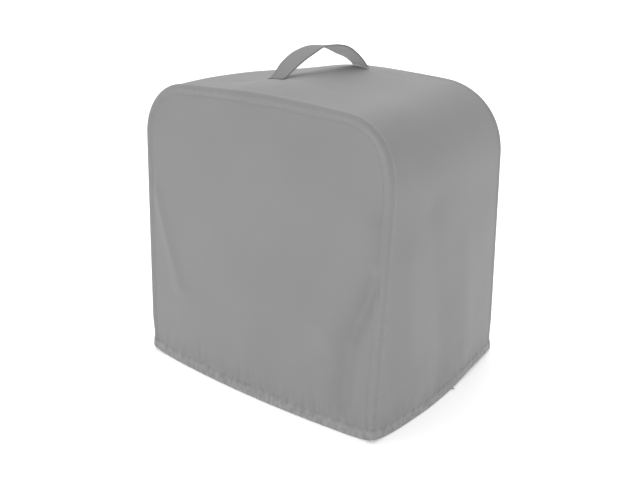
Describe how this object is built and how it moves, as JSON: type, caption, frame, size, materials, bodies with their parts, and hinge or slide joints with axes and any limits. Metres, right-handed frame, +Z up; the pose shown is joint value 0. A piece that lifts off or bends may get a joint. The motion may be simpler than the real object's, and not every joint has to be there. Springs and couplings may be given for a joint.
{
  "type": "ice maker cover",
  "caption": "Soft fitted cover for a countertop ice maker: arch-topped front and back panels joined by a gusset, open at the hem, with a flat carrying strap on top.",
  "frame": {"origin": "on the underside of the middle of the top, where the covered appliance carries the cloth", "axes": "+Z up, +X along the wide front towards its right-hand end as seen from the front, +Y from the front to the back"},
  "size_m": [0.3623, 0.2774, 0.3794],
  "materials": {
    "cover_cloth": "smooth plain-woven polyester with a soft sheen",
    "strap_cloth": "folded strap of the same cloth, stitched along its edges"
  },
  "bodies": {
    "root": {"front_panel": "cover_cloth", "back_panel": "cover_cloth", "gusset_band": "cover_cloth", "handle_strap": "strap_cloth"}
  },
  "joints": []
}
